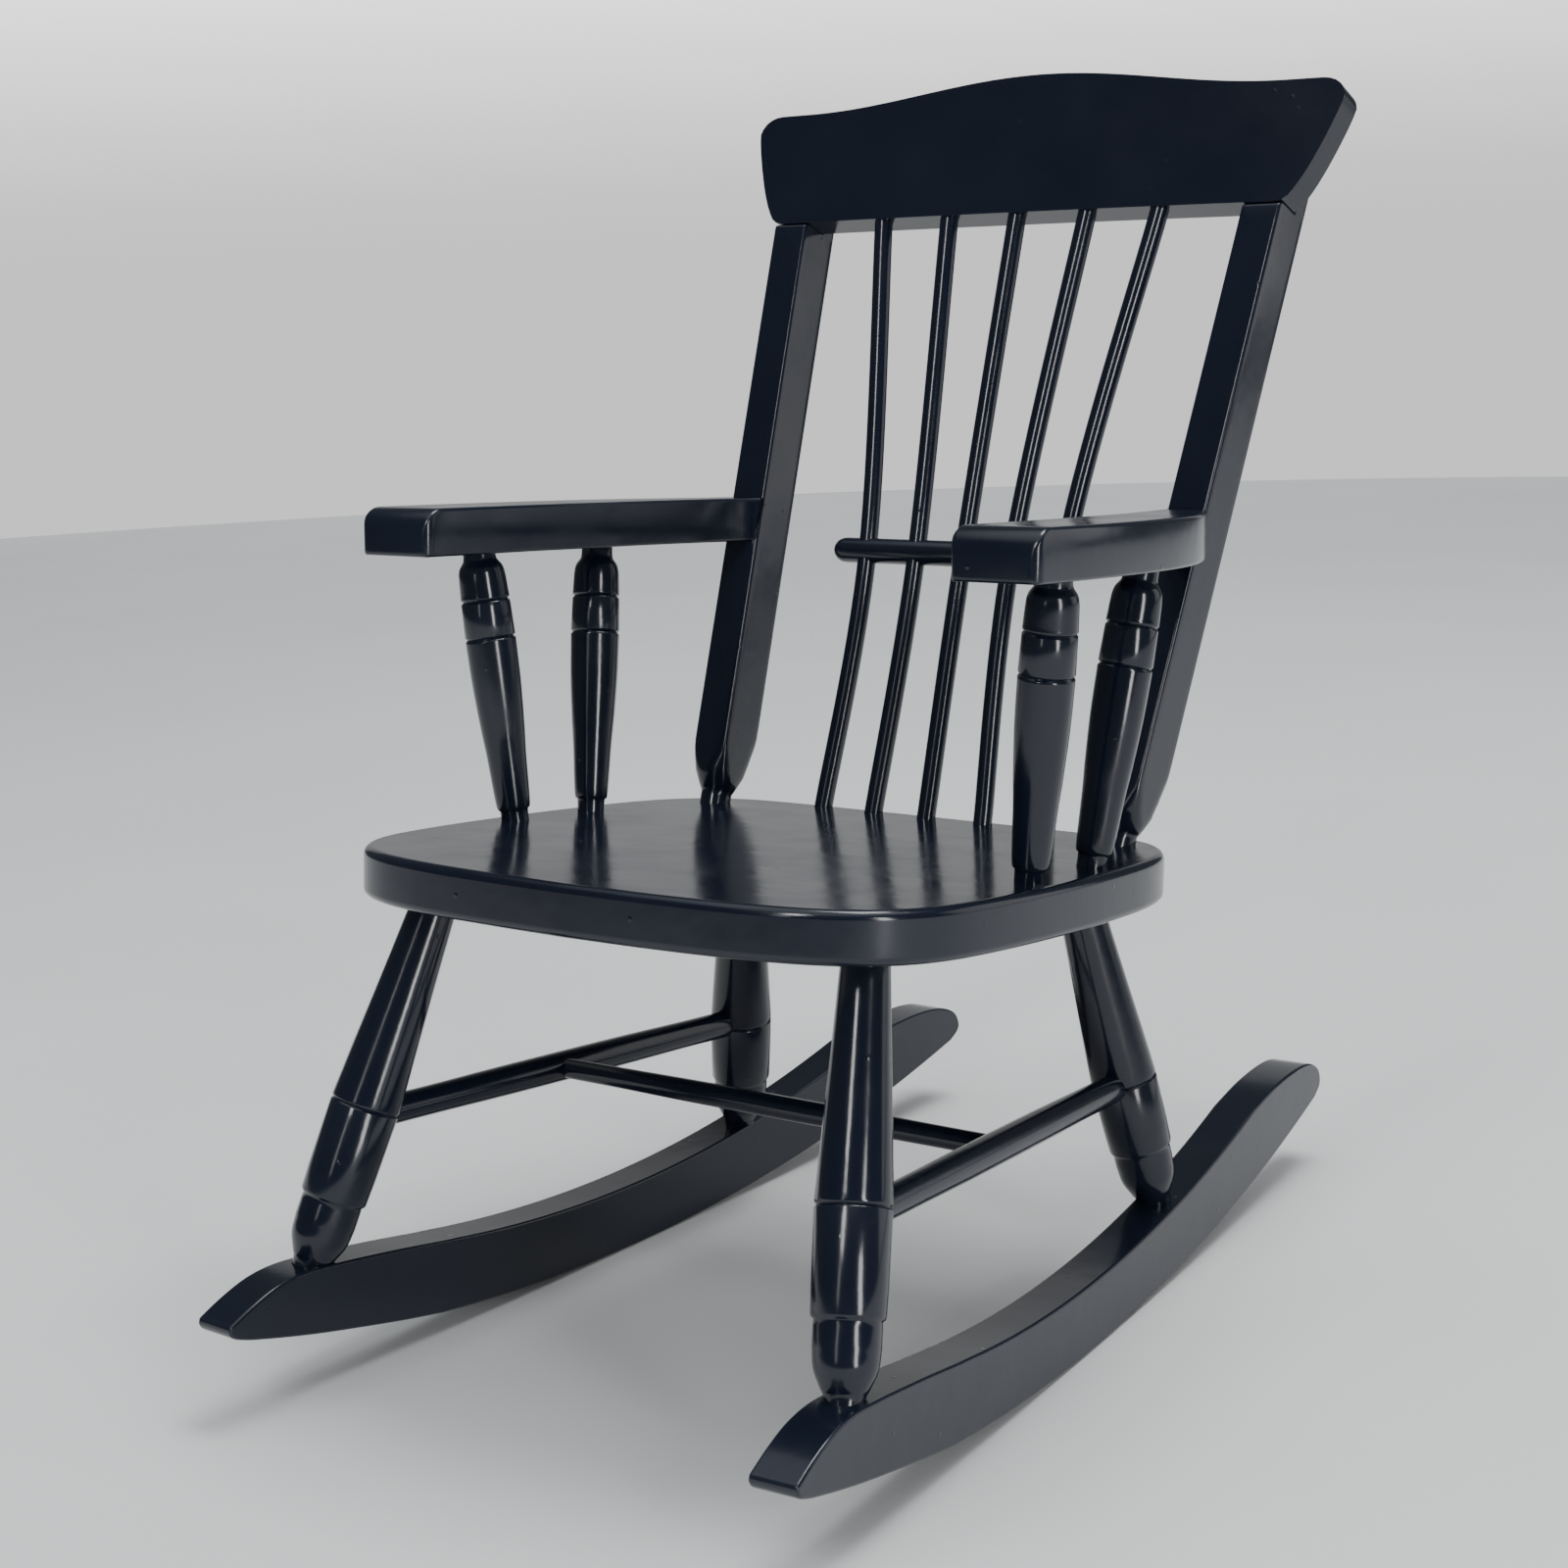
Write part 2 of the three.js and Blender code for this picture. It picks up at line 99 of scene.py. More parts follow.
# The back leans away from the seat: X, thickness and height are measured in its own frame
BACK_FOOT = 137
BACK_LEAN = math.atan2(106.5, 325)
POST_FOOT_X = 126.5
POST_TOP_X = 148
POST_HEIGHT = 339
POST_HALF = 11
POST_FRONT = -13.5
POST_BACK = 16.5
POST_NECK = 8.5
POST_EASE = 1.6
POST_SHOULDER = 2.2
POST_TONGUE = 50
TONGUE_ROUND = 5
CREST_FRONT = -12.8
CREST_BOW = 1.5
CREST_THICKNESS = 17
CREST_HALF = 183.5
CREST_END_HEIGHT = 67.5
CREST_HUMP = 13.5
CREST_HUMP_HALF = 150
CREST_STATIONS = 48

# How far the crest's lower end and its upper corner are cut away, by distance from the middle
CREST_END = [
    (0, 0), (155, 0), (158.5, 0.7), (161.5, 2.6), (164, 6), (167, 11),
    (170.5, 18), (174, 26.5), (177.5, 36), (180.5, 45), (182.5, 52), (183.5, 57),
]
CREST_CORNER = [(0, 0), (170, 0), (174, 0.5), (177.5, 1.8), (180.5, 4), (182.5, 7), (183.5, 10.5)]

# Spindles: X at the seat, at the bar and at the crest. Their feet stand on a shallow curve
SPINDLES = {
    "spindle_right_outer": (-70, -62, -87),
    "spindle_right_inner": (-34.5, -30, -43.5),
    "spindle_middle": (0, 0, 0),
    "spindle_left_inner": (34.5, 30, 43.5),
    "spindle_left_outer": (70, 62, 87),
}
SPINDLE_RADIUS = 5.1
SPINDLE_TENON = 12
SPINDLE_TENON_FLARE = 1.01
SPINDLE_FOOT_Y = 156.5
SPINDLE_FOOT_BOW = 5
SPINDLE_OUTER_FOOT = 70
SPINDLE_HEAD_Y = -8

# The lumbar bar's axis as (Y, Z), its half length and its rounded end as (distance along, radius)
BAR_AT = (188, 141)
BAR_HALF = 83
BAR_CAP = [(0, 0.5), (0.3, 2.2), (1.2, 4.0), (2.8, 5.6), (5, 6.6), (7.5, 7)]

# Arms, with the X of their two long edges as (Y, X) points, and their supports from foot to top
ARM_BOTTOM = 139.5
ARM_THICKNESS = 24
ARM_TILT = math.atan2(4, 137)
ARM_FRONT = -72
ARM_NOSE_ABOVE = 12
ARM_NOSE_BELOW = 2
ARM_NOSE_SIDE = 4.5
ARM_EASE = (1.5, 2.2)
ARM_OUTER = [
    (-72, 195), (-10, 194.6), (40, 191.5), (80, 186), (112, 178), (142, 166.5), (165, 155), (190, 144),
]
ARM_INNER = [(-72, 150.5), (0, 149.5), (50, 146.5), (100, 142), (145, 134.5), (190, 125.5)]
ARM_STATIONS = [0, 0.06, 0.2, 0.45, 0.8, 1.3, 2, 2.8, 3.8, 5, 6.3, 7.8, 9.4, 11, 13, *range(20, 268, 8)]
SUPPORTS = {
    "front": ((154, 0, 0), (169.5, -12.5, ARM_BOTTOM)),
    "rear": ((153, 60.4, 0), (165, 78, ARM_BOTTOM)),
}
SUPPORT_RADIUS = 13.1
SUPPORT_TENON = 9

# Camera, in the seat's frame: turn, tilt and roll in degrees
CAMERA_AT = (746.7, -1039.4, 180)
CAMERA_TURN = 34.51
CAMERA_TILT = 6.24
CAMERA_ROLL = 1.16
CAMERA_LENS = 60.75
CAMERA_SHIFT = (-0.0172, -0.0102)

FLOOR_RADIUS = 4.6
LAMP_AIM = (0, 0, 0.3)


def rest_matrix():
    """The seat's frame in millimetres to the row frame in metres, read from the seat's own mount."""
    seat = mounts["seat_top"]
    _, across, up = seat["axis"]
    turn = Matrix.Rotation(-math.atan2(across, up), 4, "X")
    middle = turn @ Vector((0, SEAT_MIDDLE / 1000, 0))
    return Matrix.Translation(Vector(seat["pos_m"]) - middle) @ turn @ Matrix.Scale(0.001, 4)


REST = rest_matrix()
BACK = Matrix.Translation((0, BACK_FOOT, 0)) @ Matrix.Rotation(-BACK_LEAN, 4, "X")

# Turns an outline drawn as (Y, Z) on edge, with its thickness along X
ON_EDGE = Matrix(((0, 0, 1, 0), (1, 0, 0, 0), (0, 1, 0, 0), (0, 0, 0, 1)))


# Curves and outlines


def spline(points, steps=8):
    """Points on a smooth curve through the given ones, in a plane or in space."""
    points = [Vector(point) for point in points]
    padded = [2 * points[0] - points[1], *points, 2 * points[-1] - points[-2]]
    curve = []
    for a, b, c, d in zip(padded, padded[1:], padded[2:], padded[3:]):
        for i in range(steps):
            t = i / steps
            square = (2 * a - 5 * b + 4 * c - d) * t**2
            cube = (3 * b - a - 3 * c + d) * t**3
            curve.append(0.5 * (2 * b + (c - a) * t + square + cube))
    return [*curve, points[-1]]


def arc(centre, radius, start, end, steps=8):
    """Points on a circle between two angles in degrees, in a plane."""
    angles = [math.radians(start + (end - start) * i / steps) for i in range(steps + 1)]
    return [(centre[0] + radius * math.cos(a), centre[1] + radius * math.sin(a)) for a in angles]


def rounded_box(low, high, radii):
    """A rectangle between two corners, with a corner radius for its lower and for its upper corners."""
    (x0, z0), (x1, z1) = low, high
    below, above = radii
    outline = arc((x0 + below, z0 + below), below, 180, 270, CORNER_STEPS)
    outline += arc((x1 - below, z0 + below), below, 270, 360, CORNER_STEPS)
    outline += arc((x1 - above, z1 - above), above, 0, 90, CORNER_STEPS)
    outline += arc((x0 + above, z1 - above), above, 90, 180, CORNER_STEPS)
    return outline


def ring(at, radius):
    """The profile of a rounded groove cut round a turned piece."""
    steps = [-1, -0.75, -0.4, 0, 0.4, 0.75, 1]
    return [(at + RING_HALF * s, radius - RING_DEPTH * (0.5 + 0.5 * math.cos(math.pi * s))) for s in steps]


def rolled(distance, radius):
    """How far a rounded-over end of this radius has drawn in, at a distance from the end."""
    return radius * (1 - math.sqrt(max(0, 1 - (1 - min(1, distance / radius)) ** 2)))


def interpolate(x, table):
    """The value at x on the straight lines through a table of pairs."""
    for (x0, v0), (x1, v1) in zip(table, table[1:]):
        if x <= x1:
            return v0 + (v1 - v0) * max(0, x - x0) / max(1e-9, x1 - x0)
    return table[-1][1]


def mirror(point, side):
    return Vector((point[0] * side, point[1], point[2]))


# Meshes


def loft(sections):
    """A bmesh skinned over closed sections with equal numbers of points, with both ends closed."""
    mesh = bmesh.new()
    rings = [[mesh.verts.new(point) for point in section] for section in sections]
    for low, high in zip(rings, rings[1:]):
        for i in range(len(low)):
            mesh.faces.new((low[i - 1], low[i], high[i], high[i - 1]))
    mesh.faces.new(rings[0])
    mesh.faces.new(rings[-1])
    return mesh


def turned(profile, start, end, sides=56):
    """A bmesh turned about the line from start to end. The profile is (distance along, radius)."""
    start, end = Vector(start), Vector(end)
    turn = (end - start).to_track_quat("Z", "Y").to_matrix().to_4x4()
    place = Matrix.Translation(start) @ turn
    angles = [2 * math.pi * i / sides for i in range(sides)]
    sections = [[place @ Vector((r * math.cos(a), r * math.sin(a), d)) for a in angles] for d, r in profile]
    return loft(sections)


def slab(outline, thickness, place):
    """A bmesh board: an outline in a plane, thickened along the plane's normal."""
    mesh = bmesh.new()
    face = mesh.faces.new([mesh.verts.new((x, y, 0)) for x, y in outline])
    grown = bmesh.ops.extrude_face_region(mesh, geom=[face])["geom"]
    raised = [item for item in grown if isinstance(item, bmesh.types.BMVert)]
    bmesh.ops.translate(mesh, vec=(0, 0, thickness), verts=raised)
    bmesh.ops.transform(mesh, matrix=place, verts=mesh.verts)
    return mesh


def piece(node, mesh, ease=0.0, segments=3):
    """A finished, painted piece that stands for a CAD node, from a bmesh in the seat's frame."""
    bmesh.ops.transform(mesh, matrix=REST, verts=mesh.verts)
    bmesh.ops.recalc_face_normals(mesh, faces=mesh.faces)
    data = bpy.data.meshes.new(f"fine_{node}")
    mesh.to_mesh(data)
    mesh.free()
    made = bpy.data.objects.new(f"fine_{node}", data)
    bpy.context.collection.objects.link(made)
    if ease:
        bevel = made.modifiers.new("eased edges", "BEVEL")
        bevel.width = ease / 1000
        bevel.segments = segments
        bevel.limit_method = "ANGLE"
        bevel.angle_limit = math.radians(40)
        bevel.harden_normals = True
    data.shade_smooth()
    data.set_sharp_from_angle(angle=math.radians(40))
    data.materials.append(paint)
    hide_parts(node)
    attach(made, "root")


# Materials


def grey(level):
    return (level, level, level)


def node_material(name):
    material = bpy.data.materials.new(name)
    material.use_nodes = True
    tree = material.node_tree
    return material, tree, tree.nodes["Principled BSDF"]


def own_coordinates(tree):
    return tree.nodes.new("ShaderNodeTexCoord").outputs["Object"]


def noise(tree, scale, detail, stretch=(1, 1, 1)):
    """A noise texture over the object's own coordinates, in waves per metre."""
    mapping = tree.nodes.new("ShaderNodeMapping")
    mapping.inputs["Scale"].default_value = stretch
    texture = tree.nodes.new("ShaderNodeTexNoise")
    texture.inputs["Scale"].default_value = scale
    texture.inputs["Detail"].default_value = detail
    tree.links.new(own_coordinates(tree), mapping.inputs["Vector"])
    tree.links.new(mapping.outputs["Vector"], texture.inputs["Vector"])
    return texture.outputs["Fac"]


def ramp(tree, value, stops):
    """A colour by value, between two stops. Each is (position, colour)."""
    made = tree.nodes.new("ShaderNodeValToRGB")
    elements = made.color_ramp.elements
    for element, (position, colour) in zip(elements, stops):
        element.position = position
        element.color = (*colour, 1)
    tree.links.new(value, made.inputs["Fac"])
    return made.outputs["Color"]


def bump(tree, height, distance, below=None, strength=1.0):
    """A normal that follows the height, laid over the normal below it."""
    made = tree.nodes.new("ShaderNodeBump")
    made.inputs["Strength"].default_value = strength
    made.inputs["Distance"].default_value = distance
    tree.links.new(height, made.inputs["Height"])
    if below:
        tree.links.new(below, made.inputs["Normal"])
    return made.outputs["Normal"]


def gloss_paint():
    """Brushed-on blue-black gloss: a wavy film, brush lines, specks of dust in the paint and a painted
    highlight along the sharp edges.
    """
    material, tree, shader = node_material("blue_black_gloss")
    tone = ramp(tree, noise(tree, 9, 3), [(0.3, (0.0042, 0.0066, 0.0150)), (0.7, (0.0066, 0.0098, 0.0205))])
    # Sharp convex edges get a lighter colour mixed in: a painted highlight along the edges
    geometry = tree.nodes.new("ShaderNodeNewGeometry")
    edge = ramp(tree, geometry.outputs["Pointiness"], [(0.52, grey(0)), (0.62, grey(1))])
    painted_edge_highlight = tree.nodes.new("ShaderNodeMix")
    painted_edge_highlight.data_type = "RGBA"
    painted_edge_highlight.inputs["B"].default_value = (0.022, 0.027, 0.038, 1)
    tree.links.new(edge, painted_edge_highlight.inputs["Factor"])
    tree.links.new(tone, painted_edge_highlight.inputs["A"])
    tree.links.new(painted_edge_highlight.outputs["Result"], shader.inputs["Base Color"])

    smear = ramp(tree, noise(tree, 26, 4), [(0.35, grey(0.13)), (0.75, grey(0.22))])
    tree.links.new(smear, shader.inputs["Roughness"])
    shader.inputs["Specular IOR Level"].default_value = 0.5

    wave = bump(tree, noise(tree, 45, 2), 0.00016)
    brush = bump(tree, noise(tree, 420, 3, (1, 1, 0.12)), 0.00002, wave)
    cells = tree.nodes.new("ShaderNodeTexVoronoi")
    cells.inputs["Scale"].default_value = 60
    tree.links.new(own_coordinates(tree), cells.inputs["Vector"])
    speck = ramp(tree, cells.outputs["Distance"], [(0.0, grey(1)), (0.08, grey(0))])
    tree.links.new(bump(tree, speck, 0.00022, brush, 0.8), shader.inputs["Normal"])
    return material


def bare_beech():
    material, tree, shader = node_material("bare_beech")
    grain = noise(tree, 160, 5, (1, 1, 0.06))
    tone = ramp(tree, grain, [(0.35, (0.42, 0.25, 0.13)), (0.65, (0.60, 0.41, 0.24))])
    tree.links.new(tone, shader.inputs["Base Color"])
    tree.links.new(bump(tree, grain, 0.0002), shader.inputs["Normal"])
    shader.inputs["Roughness"].default_value = 0.6
    return material


def pale_floor():
    material, tree, shader = node_material("pale_floor")
    tone = ramp(tree, noise(tree, 3, 2), [(0.3, grey(0.80)), (0.7, grey(0.83))])
    tree.links.new(tone, shader.inputs["Base Color"])
    shader.inputs["Roughness"].default_value = 0.9
    shader.inputs["Specular IOR Level"].default_value = 0.1
    return material


paint = gloss_paint()
beech = bare_beech()


# Pieces


def seat_board():
    half = spline(SEAT_EDGE, 7)
    outline = [*half, *((-x, y) for x, y in half[-2:0:-1])]
    board = slab(outline, SEAT_THICKNESS, Matrix.Translation((0, 0, -SEAT_THICKNESS)))
    piece("seat_board", board, ease=4.2, segments=6)


def leg_line(kind, side):
    return mirror(LEGS[kind]["top"], side), mirror(LEGS[kind]["foot"], side)


def leg(kind, label, side):
    """A leg that swells from the seat to its upper ring, steps in at its lower ring and ends in a bulb."""
    top, foot = leg_line(kind, side)
    upper, lower = LEGS[kind]["rings"]
    length = (foot - top).length
    swell = [(-LEG_TENON, 10), (2, 11), (upper * 0.4, 13.3), (upper * 0.75, 15.6), (upper - 2, LEG_RADIUS)]
    bulb = [(length - 22, 14.9), (length - 13, 14.0), (length - 6, 11.2), (length - 2.5, 9.4)]
    profile = spline(swell)
    profile += ring(upper, LEG_RADIUS)
    profile += [(lower - 14, 16.7), (lower - 2.4, 16.3), (lower - 1.2, 15.9), (lower - 0.6, 15.0)]
    profile += [(lower, 14.75), (lower + 2, 14.9), (length - 24, 14.9)]
    profile += spline(bulb)
    profile += [(length, 8.9), (length + LEG_TENON, 8.6)]
    piece(f"{kind}_leg_{label}", turned(profile, top, foot))


def rocker_height(curve, y):
    """The height at y of a curve that has this radius at its lowest point."""
    return curve["z"] + (y - curve["y"]) ** 2 / (2 * curve["radius"])


def rocker(label, side):
    outline = spline(ROCKER_TOE, 5)
    outline += [(y, rocker_height(ROCKER_BOTTOM, y)) for y in range(-60, 374, 8)]
    outline += spline(ROCKER_TAIL, 5)
    outline += [(y, rocker_height(ROCKER_TOP, y)) for y in range(270, -61, -8)]
    outline += spline(ROCKER_NOSE, 6)
    closing = Matrix.Rotation(side * math.atan(ROCKER_CLOSING), 4, "Z")
    place = Matrix.Translation((side * ROCKER_OFFSET, 0, 0)) @ closing
    centred = Matrix.Translation((-ROCKER_THICKNESS / 2, 0, 0))
    plank = slab(outline, ROCKER_THICKNESS, place @ centred @ ON_EDGE)
    piece(f"rocker_{label}", plank, ease=1.6)


def stretcher(node, first, second, spec):
    """A round bar between two axes, fuller in its middle, that runs on into the wood. Gives its ends."""
    inset = (second - first).normalized() * spec["inset"]
    start, end = first + inset, second - inset
    radius, tip, reach = spec["radius"], spec["tip"], spec["reach"]
    length = (end - start).length
    line = [
        (-reach, tip), (0, tip + 0.2), (length * 0.15, radius - 0.4), (length * 0.35, radius),
        (length * 0.65, radius), (length * 0.85, radius - 0.4), (length, tip + 0.2), (length + reach, tip),
    ]
    piece(node, turned(spline(line, 6), start, end, 40))
    return start, end


def on_leg(kind, side):
    """Where a side stretcher's axis meets the leg's."""
    top, foot = leg_line(kind, side)
    return top + (foot - top).normalized() * LEGS[kind]["bar"]


def stretchers():
    middles = []
    for label, side in SIDES:
        front, rear = on_leg("front", side), on_leg("rear", side)
        start, end = stretcher(f"side_stretcher_{label}", front, rear, SIDE_STRETCHER)
        middles.append(start.lerp(end, CROSS_ALONG))
    stretcher("cross_stretcher", *middles, CROSS_STRETCHER)


def post_section(front, back, limit):
    """A rectangle with eased corners, drawn in wherever it would pass a circle of the limit's radius."""
    corners = rounded_box((-POST_HALF, front), (POST_HALF, back), (POST_EASE, POST_EASE))
    sharpness = 34
    section = []
    for i, (start, end) in enumerate(zip(corners, corners[1:] + corners[:1])):
        on_side = i % (CORNER_STEPS + 1) == CORNER_STEPS
        count = 9 if on_side else 1
        for k in range(count):
            x, y = (a + (b - a) * k / count for a, b in zip(start, end))
            squeeze = (1 + (math.hypot(x, y) / limit) ** sharpness) ** (-1 / sharpness)
            section.append((x * squeeze, y * squeeze))
    return section


def post_stages():
    """Heights up a post, with the front and the back of its section at each: the foot, the shaft, the rounded
    shoulder under the crest, and the tongue behind it."""
    shoulder = POST_HEIGHT - GLUE_GAP
    tip = POST_HEIGHT + POST_TONGUE
    tongue_front = CREST_FRONT + CREST_THICKNESS + GLUE_GAP
    heights = [-14, 0, 3, 5, 6.5, 8, 10, 12, 14, 16, 19, 22, 25, 28, 32, 36, *range(40, POST_HEIGHT - 2, 9)]
    stages = [(h, POST_FRONT, POST_BACK) for h in heights]
    for x, h in arc((POST_SHOULDER, shoulder - POST_SHOULDER), POST_SHOULDER, 180, 90):
        stages.append((h, POST_FRONT + x, POST_BACK))
    for h in (shoulder, POST_HEIGHT + 0.4, *range(POST_HEIGHT + 5, tip - 6, 9)):
        stages.append((h, tongue_front, POST_BACK))
    for x, h in arc((-TONGUE_ROUND, tip - TONGUE_ROUND), TONGUE_ROUND, 0, 90):
        stages.append((h, tongue_front, POST_BACK + x))
    return stages


def post(label, side):
    """A square stick with eased corners, pointed down to a round neck, with a tongue behind the crest."""
    widening = [
        (0, POST_NECK), (5, POST_NECK), (9, 10.6), (16, 13.7), (28, 16.7), (44, 20.6), (POST_HEIGHT, 44),
    ]
    sections = []
    for h, front, back in post_stages():
        middle = side * (POST_FOOT_X + (POST_TOP_X - POST_FOOT_X) * h / POST_HEIGHT)
        outline = post_section(front, back, interpolate(h, widening))
        sections.append([BACK @ Vector((middle + x, y, h)) for x, y in outline])
    piece(f"back_post_{label}", loft(sections))


def crest_profile(x):
    """Bottom and top of the crest rail at one place along it, as heights above its lower edge."""
    x = abs(x)
    hump = 0.5 + 0.5 * math.cos(math.pi * x / CREST_HUMP_HALF) if x < CREST_HUMP_HALF else 0
    high = CREST_END_HEIGHT + CREST_HUMP * hump - interpolate(x, CREST_CORNER)
    return interpolate(x, CREST_END), high


def crest_rail():
    sections = []
    for i in range(-CREST_STATIONS, CREST_STATIONS + 1):
        x = CREST_HALF * math.sin(math.pi / 2 * i / CREST_STATIONS)
        low, high = crest_profile(x)
        front = CREST_FRONT - CREST_BOW * (1 - (x / CREST_HALF) ** 2)
        back = front + CREST_THICKNESS
        corners = ((front, low), (front, high), (back, high), (back, low))
        sections.append([BACK @ Vector((x, y, POST_HEIGHT + h)) for y, h in corners])
    piece("crest_rail", loft(sections), ease=1.8, segments=4)


def spindle(node, foot, waist, top):
    """A round rod from the seat through the lumbar bar to the crest, bent at the bar."""
    bottom = Vector((foot, SPINDLE_FOOT_Y + SPINDLE_FOOT_BOW * (foot / SPINDLE_OUTER_FOOT) ** 2, 0))
    middle = Vector((waist, *BAR_AT))
    head = BACK @ Vector((top, SPINDLE_HEAD_Y, POST_HEIGHT))
    start = bottom - (middle - bottom).normalized() * SPINDLE_TENON
    end = BACK @ Vector((top * SPINDLE_TENON_FLARE, SPINDLE_HEAD_Y, POST_HEIGHT + SPINDLE_TENON))
    path = spline([start, bottom, middle, head, end], 14)
    angles = [2 * math.pi * k / 32 for k in range(32)]
    sections = []
    for i, point in enumerate(path):
        along = (path[min(i + 1, len(path) - 1)] - path[max(i - 1, 0)]).normalized()
        across = along.cross(Vector((0, 1, 0))).normalized()
        upward = across.cross(along)
        offsets = (SPINDLE_RADIUS * (math.cos(a) * across + math.sin(a) * upward) for a in angles)
        sections.append([point + offset for offset in offsets])
    piece(node, loft(sections))


def lumbar_bar():
    length = 2 * BAR_HALF
    profile = BAR_CAP + [(length - d, r) for d, r in reversed(BAR_CAP)]
    piece("lumbar_bar", turned(profile, (-BAR_HALF, *BAR_AT), (BAR_HALF, *BAR_AT), 40))


def held_before_post(point):
    """The point, moved forward where it would lie behind the front face of the posts."""
    face = BACK_FOOT + point.z * math.tan(BACK_LEAN) + (POST_FRONT - GLUE_GAP) / math.cos(BACK_LEAN)
    return Vector((point.x, min(point.y, face), point.z))


def arm(label, side):
    """A board lofted from its rounded nose to the face of the post, its outer side curving in to the back."""
    tilt = Matrix.Translation((0, 0, ARM_BOTTOM)) @ Matrix.Rotation(ARM_TILT, 4, "X")
    outer = spline(ARM_OUTER, 6)
    inner = spline(ARM_INNER, 6)
    sections = []
    for distance in ARM_STATIONS:
        y = ARM_FRONT + distance
        drawn = rolled(distance, ARM_NOSE_SIDE)
        low = (interpolate(y, inner) + drawn, rolled(distance, ARM_NOSE_BELOW))
        high = (interpolate(y, outer) - drawn, ARM_THICKNESS - rolled(distance, ARM_NOSE_ABOVE))
        section = [tilt @ Vector((side * x, y, z)) for x, z in rounded_box(low, high, ARM_EASE)]
        sections.append([held_before_post(point) for point in section])
    piece(f"arm_{label}", loft(sections))


def arm_support(kind, label, side):
    """A support that swells upwards from the seat, with two rings and a rounded cap under the arm."""
    foot, top = (mirror(point, side) for point in SUPPORTS[kind])
    length = (top - foot).length
    swell = [
        (-SUPPORT_TENON, 7.2), (5, 7.3), (9, 8.9), (34, 10.3),
        (50, 11.5), (72, 12.7), (length - 47, SUPPORT_RADIUS),
    ]
    cap = [
        (length - 23.5, 12.6), (length - 13, 12.1), (length - 8.5, 11.2),
        (length - 6, 9.6), (length - 4.5, 8.7), (length - 2.5, 8.4),
    ]
    profile = spline(swell, 7)
    profile += ring(length - 45, SUPPORT_RADIUS) + ring(length - 25.5, 12.7)
    profile += spline(cap, 6)
    profile += [(length + SUPPORT_TENON, 8.2)]
    piece(f"arm_support_{kind}_{label}", turned(profile, foot, top))


def dowel(joint, label):
    """A CAD node that keeps its shape and gets its material."""
    data = frame["nodes"][f"{joint}_dowel_{label}"].data
    data.materials.clear()
    data.materials.append(beech)


def chair():
    seat_board()
    crest_rail()
    lumbar_bar()
    stretchers()
    for node, places in SPINDLES.items():
        spindle(node, *places)
    for label, side in SIDES:
        rocker(label, side)
        post(label, side)
        arm(label, side)
        for kind in ("front", "rear"):
            leg(kind, label, side)
            arm_support(kind, label, side)
        for joint in ("arm", "crest"):
            dowel(joint, label)


# Studio


def floor():
    bpy.ops.mesh.primitive_circle_add(vertices=96, radius=FLOOR_RADIUS, fill_type="NGON", location=(0, 0, 0))
    ground = bpy.context.object
    ground.name = "floor"
    ground.data.materials.append(pale_floor())


def softbox(name, place, size, radiance):
    """A soft lamp that reflections see and the camera doesn't, with its face as bright as the radiance."""
    lamp = bpy.data.lights.new(name, "AREA")
    lamp.shape = "RECTANGLE"
    lamp.size, lamp.size_y = size
    lamp.energy = radiance * math.pi * size[0] * size[1]
    made = bpy.data.objects.new(name, lamp)
    made.location = place
    made.rotation_euler = (Vector(LAMP_AIM) - Vector(place)).to_track_quat("-Z", "Y").to_euler()
    made.visible_camera = False
    bpy.context.collection.objects.link(made)


def by_height(tree, low, high):
    """A brightness that climbs with the direction's height. Each end is (height, brightness)."""
    place = tree.nodes.new("ShaderNodeTexCoord")
    parts = tree.nodes.new("ShaderNodeSeparateXYZ")
    climb = tree.nodes.new("ShaderNodeMapRange")
    climb.interpolation_type = "SMOOTHSTEP"
    climb.inputs["From Min"].default_value, climb.inputs["To Min"].default_value = low
    climb.inputs["From Max"].default_value, climb.inputs["To Max"].default_value = high
    tree.links.new(place.outputs["Generated"], parts.inputs["Vector"])
    tree.links.new(parts.outputs["Z"], climb.inputs["Value"])
    return climb.outputs["Result"]


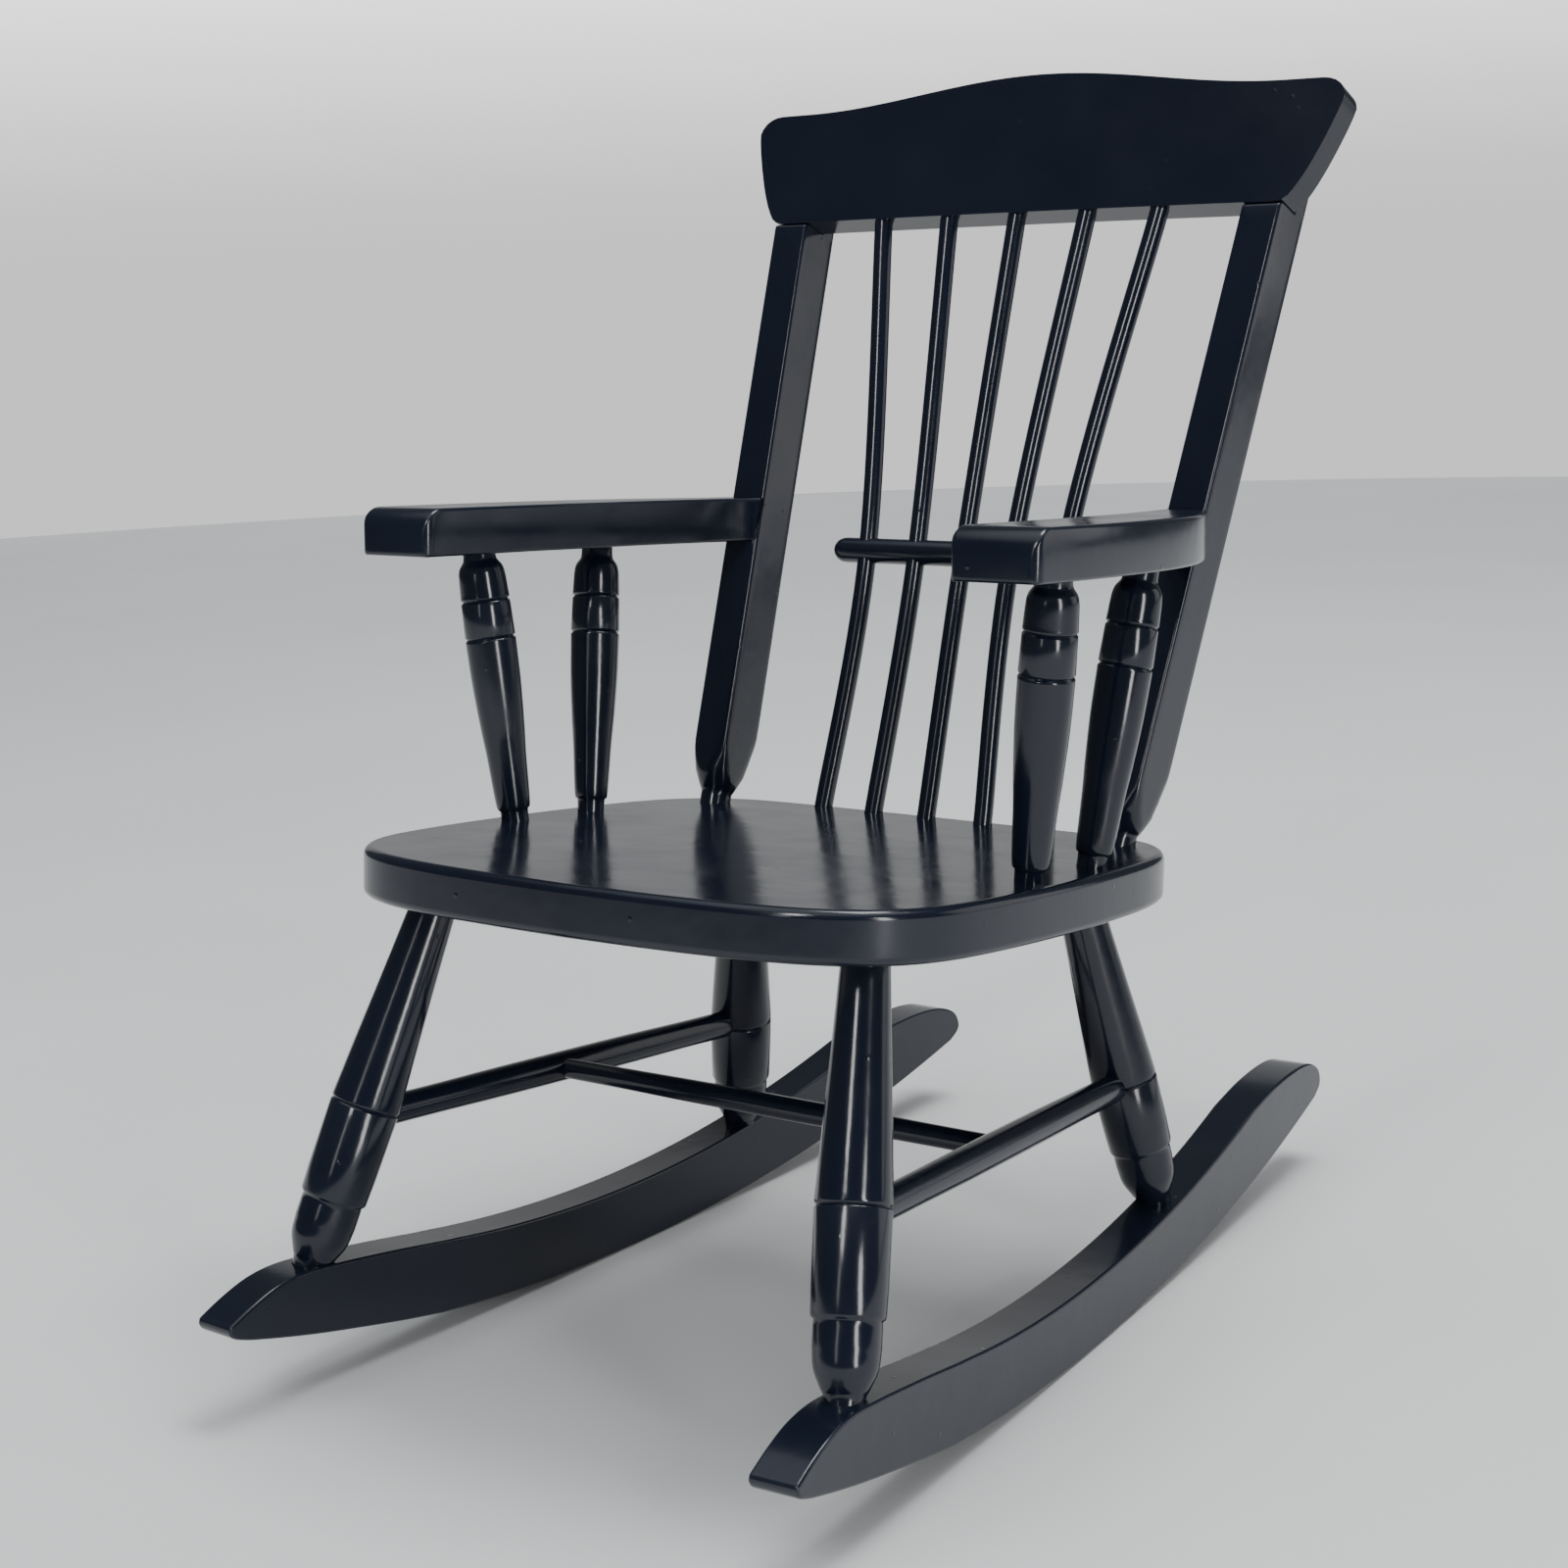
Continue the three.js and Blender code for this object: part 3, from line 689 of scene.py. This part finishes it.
def studio():
    """A dim room with a bright ceiling, soft walls behind the chair and tall windows at the front."""
    world = bpy.data.worlds.new("studio")
    bpy.context.scene.world = world
    world.use_nodes = True
    tree = world.node_tree
    room = tree.nodes["Background"]
    room.inputs["Color"].default_value = (0.90, 0.96, 1, 1)
    tree.links.new(by_height(tree, (0.68, 0.11), (0.94, 1.2)), room.inputs["Strength"])
    backdrop = tree.nodes.new("ShaderNodeBackground")
    backdrop.inputs["Color"].default_value = (1, 1, 1, 1)
    tree.links.new(by_height(tree, (0.0, 0.9), (0.2, 3.0)), backdrop.inputs["Strength"])
    path = tree.nodes.new("ShaderNodeLightPath")
    mix = tree.nodes.new("ShaderNodeMixShader")
    tree.links.new(path.outputs["Is Camera Ray"], mix.inputs["Fac"])
    tree.links.new(room.outputs["Background"], mix.inputs[1])
    tree.links.new(backdrop.outputs["Background"], mix.inputs[2])
    tree.links.new(mix.outputs["Shader"], tree.nodes["World Output"].inputs["Surface"])
    softbox("wall", (-2.6, 3.6, 1.0), (5.0, 2.0), 0.38)
    softbox("side", (2.6, 2.8, 1.3), (2.4, 2.4), 0.95)
    softbox("ceiling", (0.3, 0.9, 3.6), (1.6, 1.6), 9)
    softbox("window_right", (3.2, -1.5, 1.0), (0.6, 1.9), 15)
    softbox("window_left", (0.1, -3.2, 1.3), (0.35, 1.2), 3)
    softbox("window_high", (0.2, -2.6, 2.5), (0.5, 1.2), 16)


def camera():
    """The photographer's place, fitted in the seat's frame."""
    turn, tilt, roll = (math.radians(a) for a in (CAMERA_TURN, CAMERA_TILT, CAMERA_ROLL))
    ahead = Vector((-math.sin(turn) * math.cos(tilt), math.cos(turn) * math.cos(tilt), -math.sin(tilt)))
    right = Vector((math.cos(turn), math.sin(turn), 0))
    up = right.cross(ahead)
    axis_x = math.cos(roll) * right + math.sin(roll) * up
    axis_y = math.cos(roll) * up - math.sin(roll) * right
    lens = bpy.data.cameras.new("camera")
    lens.sensor_width = 36
    lens.lens = CAMERA_LENS
    lens.shift_x, lens.shift_y = CAMERA_SHIFT
    made = bpy.data.objects.new("camera", lens)
    bpy.context.collection.objects.link(made)
    facing = REST.to_quaternion().to_matrix() @ Matrix((axis_x, axis_y, -ahead)).transposed()
    made.matrix_world = Matrix.Translation(REST @ Vector(CAMERA_AT)) @ facing.to_4x4()
    bpy.context.scene.camera = made


chair()
floor()
studio()
camera()
